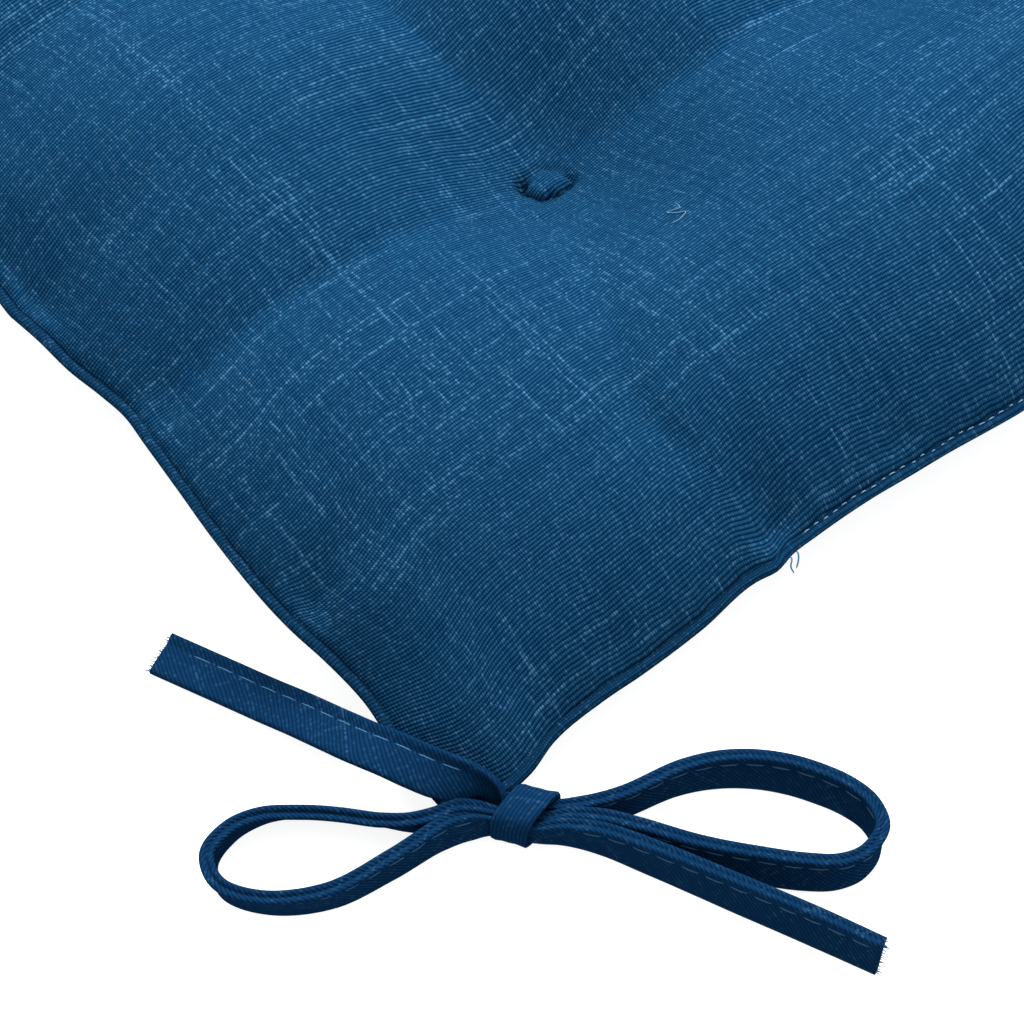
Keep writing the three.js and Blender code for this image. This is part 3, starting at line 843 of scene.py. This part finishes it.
def strip_mesh(name, line, section, width):
    """Sweeps a tie's section along its line, with flat cut ends."""
    share, half = np.array(section, float).T
    share = np.concatenate([share, share[-2:0:-1]])
    half = np.concatenate([half, -half[-2:0:-1]]) * MM
    around = len(share)
    count = len(line["run"])
    gather = line["gather"][:, None]
    across = share[None] * width / 2 * gather
    # A gathered strip is pleated along its length
    pleat = (1 - gather) * 1.2 * MM * np.sin(share * 5.5)[None]
    through_side = half[None] * (0.35 + 0.65 * gather) + pleat
    points = (
        line["centre"][:, None]
        + across[..., None] * line["edge"][:, None]
        + through_side[..., None] * line["side"][:, None]
    ).reshape(-1, 3)
    faces = tube_faces(count, around)
    ring = np.stack([share * width / 2, half], 1)
    steps = np.linalg.norm(np.diff(np.concatenate([ring, ring[:1]]), axis=0), axis=1)
    perimeter = np.append(0, np.cumsum(steps))
    uvs = []
    for i in range(count - 1):
        a, b = line["run"][i], line["run"][i + 1]
        for k in range(around):
            uvs += [(a, perimeter[k]), (b, perimeter[k]), (b, perimeter[k + 1]), (a, perimeter[k + 1])]
    # Each cap is a row of faces from one side of the tie to the other
    for start, flip in ((0, False), ((count - 1) * around, True)):
        for k in range(around // 2):
            corners = (k, k + 1, (around - k - 1) % around, (around - k) % around)
            face = [start + number for number in dict.fromkeys(corners)]
            if len(face) < 3:
                continue
            faces.append(face[::-1] if flip else face)
            uvs += [(perimeter[k], 0.0)] * len(face)
    return mesh_object(name, points, faces, uvs)


def on_strip(line, at, share, lift, width):
    """A place on a strip's face, and its directions, at a distance along it."""
    i = np.interp(at, line["run"], np.arange(len(line["run"])))
    low = int(min(i, len(line["run"]) - 2))
    t = i - low

    def value(key):
        return line[key][low] * (1 - t) + line[key][low + 1] * t

    place = value("centre") + value("edge") * share * width / 2 * value("gather") + value("side") * lift
    return place, value("tangent"), value("side")


def thread_mesh(name, paths, radius, sides=6):
    """Short lengths of thread, each a round tube with closed ends."""
    points, faces, uvs = [], [], []
    for path in paths:
        path = np.array(path, float)
        tangent = unit(np.gradient(path, axis=0))
        reference = np.where(np.abs(tangent[:, 2:]) < 0.9, UP, np.array((1.0, 0, 0)))
        first = unit(np.cross(tangent, reference))
        second = np.cross(tangent, first)
        count = len(path)
        taper = np.sqrt(np.clip(1 - np.linspace(-1, 1, count) ** 8, 0.15, 1))
        base = len(points)
        run = np.append(0, np.cumsum(np.linalg.norm(np.diff(path, axis=0), axis=1)))
        for i in range(count):
            for k in range(sides):
                turn = 2 * math.pi * k / sides
                spoke = math.cos(turn) * first[i] + math.sin(turn) * second[i]
                points.append(path[i] + radius * taper[i] * spoke)
        for i in range(count - 1):
            for k in range(sides):
                n = (k + 1) % sides
                a, b = base + i * sides, base + (i + 1) * sides
                faces.append((a + k, a + n, b + n, b + k))
                w0, w1 = k * radius, (k + 1) * radius
                uvs += [(run[i], w0), (run[i], w1), (run[i + 1], w1), (run[i + 1], w0)]
        last = base + (count - 1) * sides
        faces.append(tuple(range(base, base + sides))[::-1])
        faces.append(tuple(range(last, last + sides)))
        uvs += [(0.0, 0.0)] * (2 * sides)
    return mesh_object(name, points, faces, uvs)


def tie_stitches(name, line, width, section):
    """Running stitches along both faces of a tie, a little proud of the cloth."""
    s = sizes()
    half = np.interp(STITCH_ROW, [r[0] for r in section[:16]], [r[1] for r in section[:16]]) * MM
    paths = []
    first, last = 0.012, line["run"][-1] - 0.002
    for face in (1, -1):
        at = first
        while at + s.stitch_length < last:
            along = np.linspace(at, at + s.stitch_length, 7)
            arch = np.sin(np.linspace(0, math.pi, 7)) * 0.22 * MM - 0.08 * MM
            path = [on_strip(line, a, STITCH_ROW, face * (half + h), width)[0] for a, h in zip(along, arch)]
            if np.interp(at, line["run"], line["gather"]) > 0.9:
                paths.append(path)
            at += s.stitch_pitch
    return thread_mesh(name, paths, TIE_THREAD * MM)


def frayed_end(name, line, width, spread, seed):
    """Loose fibres that stand out of a cut end."""
    draw = np.random.default_rng(seed)
    paths = []
    tip = line["run"][-1]
    for share in np.linspace(-0.95, 0.95, spread):
        place, tangent, side = on_strip(line, tip, share, draw.uniform(-0.7, 0.7) * MM, width)
        edge = line["edge"][-1]
        reach = draw.uniform(0.4, 1.5) * MM
        drift = draw.uniform(-0.5, 0.5) * edge + draw.uniform(-0.25, 0.35) * side
        path = []
        for t in np.linspace(0, 1, 5):
            ahead = (1.2 * reach + 0.4 * MM) * t - 0.5 * MM
            path.append(place + ahead * tangent + reach * t * t * drift)
        paths.append(path)
    return thread_mesh(name, paths, FRAYED_FIBRE * MM, sides=5)


def knot_mesh(name, hand):
    """The turn of tie round the bow, a closed band with rolled edges."""
    s = sizes()
    turn = math.radians(KNOT_TURN)
    axis = ALONG * math.cos(turn) + OUT * math.sin(turn)
    axis = axis * np.array((hand, 1, 1))
    across = unit(np.cross(UP, axis))
    count = 72
    angle = np.linspace(0, 2 * math.pi, count, endpoint=False)
    corner = 2 / 3.2
    x = np.sign(np.cos(angle)) * np.abs(np.cos(angle)) ** corner * KNOT_HALF_WIDTH
    z = np.sign(np.sin(angle)) * np.abs(np.sin(angle)) ** corner * KNOT_HALF_HEIGHT
    centre = (KNOT_PLACE - KNOT_INWARD * OUT) * np.array((hand, 1, 1)) + UP * KNOT_MIDDLE
    ring = centre + x[:, None] * across + z[:, None] * UP
    tangent = unit(np.roll(ring, -1, 0) - np.roll(ring, 1, 0))
    outward = np.cross(tangent, axis)
    outward *= np.sign(((ring - centre) * outward).sum(1).mean())
    share, half = np.array(KNOT_SECTION, float).T
    share = np.concatenate([share, share[-2:0:-1]])
    half = np.concatenate([half, -half[-2:0:-1]]) * MM
    around = len(share)
    # The turn is drawn tight in the middle and its creases run round it
    crease = 0.22 * MM * np.sin(share * 9.0)[None] * np.sin(angle + 0.6)[:, None] ** 2
    lift = half[None] + np.where(half[None] > 0, crease, 0)
    width = s.knot_length * (1 + 0.05 * np.sin(angle + 0.8))[:, None]
    slant = KNOT_SLANT * x[:, None] + share[None] * width / 2
    points = (ring[:, None] + slant[..., None] * axis + lift[..., None] * outward[:, None]).reshape(-1, 3)
    faces = tube_faces(count, around, closed=True)
    run = np.append(0, np.cumsum(np.linalg.norm(np.roll(ring, -1, 0) - ring, axis=1)))
    profile = np.stack([share * s.knot_length / 2, half], 1)
    steps = np.linalg.norm(np.diff(np.concatenate([profile, profile[:1]]), axis=0), axis=1)
    perimeter = np.append(0, np.cumsum(steps))
    quarter = math.sqrt(0.5)
    uvs = []
    for i in range(count):
        for k in range(around):
            corners = [(run[i], perimeter[k]), (run[i + 1], perimeter[k])]
            corners += [(run[i + 1], perimeter[k + 1]), (run[i], perimeter[k + 1])]
            # Turned back by the 45 degrees of the tie cloth, so its ribs run round the knot
            uvs += [(quarter * (u + v), quarter * (v - u)) for u, v in corners]
    return mesh_object(name, points, faces, uvs)


def faced_outwards(piece):
    """Turns a closed mesh's faces outwards."""
    work = bmesh.new()
    work.from_mesh(piece.data)
    bmesh.ops.recalc_face_normals(work, faces=work.faces)
    work.to_mesh(piece.data)
    work.free()
    return piece


def make_bow(corner, hand):
    s = sizes()
    cloth = shaded_tie_cloth()
    thread = shared("polyester_thread", sewing_thread, colours().thread)
    knot = faced_outwards(knot_mesh(f"knot_{corner}_cloth", hand))
    settle(knot, cloth)
    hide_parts(f"knot_{corner}")
    root_line = strip_line(ROOT_ROUTE, hand, 0.5 * MM)
    root = faced_outwards(strip_mesh(f"tie_root_{corner}", root_line, TIE_SECTION, 0.0075))
    settle(root, cloth)
    for kind, rows, companions, seed in (
        ("loop_tie", LOOP_TIE_ROUTE, [knot, root], 11),
        ("tail_tie", TAIL_TIE_ROUTE, [], 12),
    ):
        line = strip_line(rows, hand, 1.0 * MM)
        tie = faced_outwards(strip_mesh(f"{kind}_{corner}_cloth", line, TIE_SECTION, s.tie_width))
        settle(tie, cloth)
        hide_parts(f"{kind}_{corner}")
        stitches = tie_stitches(f"{kind}_{corner}_stitches", line, s.tie_width, TIE_SECTION)
        settle(stitches, thread)
        fray = frayed_end(f"{kind}_{corner}_fray", line, s.tie_width, 26, seed)
        settle(fray, thread)


# Seam


def seam_line(step):
    """Points round the outline of the cover, anticlockwise from the front left corner."""
    s = sizes()
    count = int(s.side / step)
    run = np.linspace(-1, 1, count, endpoint=False)
    one = np.ones(count)
    sides = [(run, -one), (one, run), (-run, one), (-one, -run)]
    across = np.concatenate([a for a, _ in sides])
    deep = np.concatenate([d for _, d in sides])
    x, y = outline(across, deep)
    return np.stack([x, y, seam_height(across, deep)], 1), across, deep


def make_seam_edge():
    """The rolled lip round the cover, and the flat closing edge in the middle of the back."""
    s = sizes()
    line, across, deep = seam_line(1.6 * MM)
    count = len(line)
    tangent = unit(np.roll(line, -1, 0) - np.roll(line, 1, 0))
    inward = unit(np.cross(np.broadcast_to(UP, tangent.shape), tangent))
    upward = np.cross(tangent, inward)
    on_back = (deep >= 1) & (np.abs(across) < 1)
    closing = np.where(on_back, ease((s.closing_half - np.abs(line[:, 0])) / (4 * MM) + 0.5), 0)
    width = s.lip_width + (s.flange_width - s.lip_width) * closing
    # A corner is mitred, so its diagonal is longer than the lip is wide
    width = np.where(np.abs(across * deep) >= 1, math.sqrt(2) * width, width)
    thick = LIP_THICK * MM + (CLOSING_THICK - LIP_THICK) * MM * closing
    around = 14
    turn = np.linspace(0, 2 * math.pi, around, endpoint=False)
    x = np.sign(np.cos(turn)) * np.abs(np.cos(turn)) ** 0.8
    z = np.sign(np.sin(turn)) * np.abs(np.sin(turn)) ** 0.8
    # The inner part is sewn down flat, which leaves a dark groove beside the cover
    z = z * (1 - 0.7 * ease((x - 0.05) / 0.4))
    middle = line + inward * (width / 2)[:, None]
    points = (
        middle[:, None]
        + (x[None] * width[:, None] / 2)[..., None] * inward[:, None]
        + (z[None] * thick[:, None] / 2)[..., None] * upward[:, None]
    ).reshape(-1, 3)
    faces = tube_faces(count, around, closed=True)
    spoke = np.stack([x * s.lip_width / 2, z * 1.3 * MM], 1)
    steps = np.linalg.norm(np.diff(np.concatenate([spoke, spoke[:1]]), axis=0), axis=1)
    perimeter = np.append(0, np.cumsum(steps))
    run = np.append(0, np.cumsum(np.linalg.norm(np.roll(line, -1, 0) - line, axis=1)))
    uvs = []
    for i in range(count):
        flank = abs(across[i]) >= 1 and abs(deep[i]) < 1
        for k in range(around):
            corners = [(run[i], perimeter[k]), (run[i + 1], perimeter[k])]
            corners += [(run[i + 1], perimeter[k + 1]), (run[i], perimeter[k + 1])]
            uvs += [(v, u) if flank else (u, v) for u, v in corners]
    piece = faced_outwards(mesh_object("seam_edge", points, faces, uvs))
    settle(piece, shaded_edge_cloth())
    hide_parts("cushion")


def make_closing_threads():
    """The topstitch of the closing edge, its thread ends and a stray thread on the top."""
    s = sizes()
    half_back = s.side / 2
    draw = np.random.default_rng(3)
    paths = []
    at = -s.closing_half + 3 * MM
    while at < s.closing_half - 5 * MM:
        across = np.linspace(at, at + CLOSING_STITCH * draw.uniform(0.5, 1), 5) / half_back
        x, y = outline(across, np.ones(5), CLOSING_INSET + draw.uniform(-0.4, 0.4) * MM)
        z = seam_height(across, np.ones(5)) + 0.9 * MM + 0.15 * MM * np.array((-1, 0.6, 1, 0.6, -1))
        paths.append(np.stack([x, y, z], 1))
        at += CLOSING_PITCH
    pale = shared("pale_polyester_thread", sewing_thread, colours().pale_thread)
    stitches = thread_mesh("closing_stitches", paths, CLOSING_THREAD * MM)
    across, deep = smooth_path(STRAY_THREAD, 40).T * MM / half_back
    x, y = gathered(*outline(across, deep))
    z = top_height(across, deep, x, y) + 0.25 * MM
    stray = thread_mesh("stray_thread", [np.stack([x, y, z], 1)], STRAY_FIBRE * MM)
    dark = shared("polyester_thread", sewing_thread, colours().thread)
    place = s.closing_half / half_back
    x, y = outline(np.array(place), np.array(1.0))
    pinch = np.array((x, y, seam_height(place, 1.0)))
    ends = [pinch + smooth_path(path, 12) * MM for path in THREAD_ENDS]
    loose = thread_mesh("closing_thread_ends", ends, CUT_THREAD * MM)
    for piece, thread in ((stitches, pale), (stray, pale), (loose, dark)):
        settle(piece, thread)


# Operators


class CUSHION_OT_camera(bpy.types.Operator):
    """Places the camera where the photograph was taken"""

    bl_idname = "cushion.camera"
    bl_label = "Photo camera"

    def execute(self, context):
        azimuth, elevation = math.radians(CAMERA_AZIMUTH), math.radians(CAMERA_ELEVATION)
        back = Vector(
            (
                math.sin(azimuth) * math.cos(elevation),
                -math.cos(azimuth) * math.cos(elevation),
                math.sin(elevation),
            )
        )
        data = bpy.data.cameras.new("photo_camera")
        data.sensor_fit = "HORIZONTAL"
        data.angle = math.radians(CAMERA_FIELD)
        data.clip_start, data.clip_end = 0.05, 20
        camera = bpy.data.objects.new("photo_camera", data)
        camera.location = Vector(CAMERA_TARGET) + back * CAMERA_DISTANCE
        camera.rotation_euler = (-back).to_track_quat("-Z", "Y").to_euler()
        context.scene.collection.objects.link(camera)
        context.scene.camera = camera
        return {"FINISHED"}


class CUSHION_OT_ties(bpy.types.Operator):
    """Makes the ties and the knot of the bow at each back corner"""

    bl_idname = "cushion.ties"
    bl_label = "Ties and bows"

    def execute(self, context):
        for corner, hand in (("right", 1), ("left", -1)):
            make_bow(corner, hand)
        return {"FINISHED"}


class CUSHION_OT_cushion(bpy.types.Operator):
    """Makes the stuffed and tufted cushion"""

    bl_idname = "cushion.cushion"
    bl_label = "Cushion"

    def execute(self, context):
        points, faces, uvs = cushion_mesh(COVER_CELLS, sizes().lip_width * LIP_IN_VIEW)
        piece = mesh_object("cushion_cover", points, faces, uvs)
        settle(piece, cover_cloth())
        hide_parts("cushion")
        return {"FINISHED"}


class CUSHION_OT_tufts(bpy.types.Operator):
    """Makes the puff of cloth at each tuft"""

    bl_idname = "cushion.tufts"
    bl_label = "Tufts"

    def execute(self, context):
        for number, place in enumerate(tuft_places(), 1):
            puff = faced_outwards(tuft_mesh(f"tuft_{number}", place))
            settle(puff, cover_cloth())
            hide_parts("cushion")
        return {"FINISHED"}


class CUSHION_OT_seam(bpy.types.Operator):
    """Makes the lip and the closing edge of the seam"""

    bl_idname = "cushion.seam"
    bl_label = "Seam"

    def execute(self, context):
        make_seam_edge()
        make_closing_threads()
        return {"FINISHED"}


class CUSHION_OT_stage(bpy.types.Operator):
    """Sets the pale floor and the soft lights"""

    bl_idname = "cushion.stage"
    bl_label = "Floor and lights"

    def execute(self, context):
        size = 3.0
        corners = [(-size, -size, 0), (size, -size, 0), (size, size, 0), (-size, size, 0)]
        floor = mesh_object("floor", corners, [(0, 1, 2, 3)], smooth=False)
        floor.data.materials.append(lit_acrylic("matt_white_acrylic", colours().floor))
        world = bpy.data.worlds.new("studio")
        context.scene.world = world
        world.use_nodes = True
        tree = world.node_tree
        sky = tree.nodes["Background"]
        look = add(tree, "ShaderNodeTexCoord", {}, {})
        aim = add(tree, "ShaderNodeVectorMath", {"operation": "DOT_PRODUCT"}, {0: look, 1: LIGHT_FROM})
        ramp = {0: aim.node.outputs[1], 1: -0.5, 2: 1.0, 3: SKY_DIM, 4: SKY_BRIGHT}
        tree.links.new(add(tree, "ShaderNodeMapRange", {}, ramp), sky.inputs["Strength"])
        sky.inputs["Color"].default_value = (1, 1, 1, 1)
        data = bpy.data.lights.new("key", "AREA")
        data.size = LIGHT_WIDTH
        data.energy = LIGHT_POWER
        light = bpy.data.objects.new("key", data)
        light.location = LIGHT_DISTANCE * Vector(LIGHT_FROM)
        light.rotation_euler = Vector(LIGHT_FROM).to_track_quat("Z", "Y").to_euler()
        context.scene.collection.objects.link(light)
        context.scene.view_settings.view_transform = "Standard"
        return {"FINISHED"}


class CUSHION_PT_panel(bpy.types.Panel):
    """Lists the cushion's pieces in the order in which they are made"""

    bl_idname = "CUSHION_PT_panel"
    bl_label = "Tufted chair cushion"
    bl_space_type = "VIEW_3D"
    bl_region_type = "UI"
    bl_category = "Cushion"

    def draw(self, context):
        for operator in OPERATORS:
            self.layout.operator(operator.bl_idname)
        for group in (context.scene.cushion_sizes, context.scene.cushion_colours):
            for name in group.__annotations__:
                self.layout.prop(group, name)


OPERATORS = (
    CUSHION_OT_camera,
    CUSHION_OT_ties,
    CUSHION_OT_cushion,
    CUSHION_OT_tufts,
    CUSHION_OT_seam,
    CUSHION_OT_stage,
)
CLASSES = (CushionSizes, CushionColours, *OPERATORS, CUSHION_PT_panel)


def register():
    for item in CLASSES:
        bpy.utils.register_class(item)
    bpy.types.Scene.cushion_sizes = bpy.props.PointerProperty(type=CushionSizes)
    bpy.types.Scene.cushion_colours = bpy.props.PointerProperty(type=CushionColours)


def unregister():
    del bpy.types.Scene.cushion_colours
    del bpy.types.Scene.cushion_sizes
    for item in reversed(CLASSES):
        bpy.utils.unregister_class(item)


def main():
    register()
    bpy.ops.cushion.camera()
    bpy.ops.cushion.ties()
    bpy.ops.cushion.cushion()
    bpy.ops.cushion.tufts()
    bpy.ops.cushion.seam()
    bpy.ops.cushion.stage()


if __name__ == "__main__":
    main()
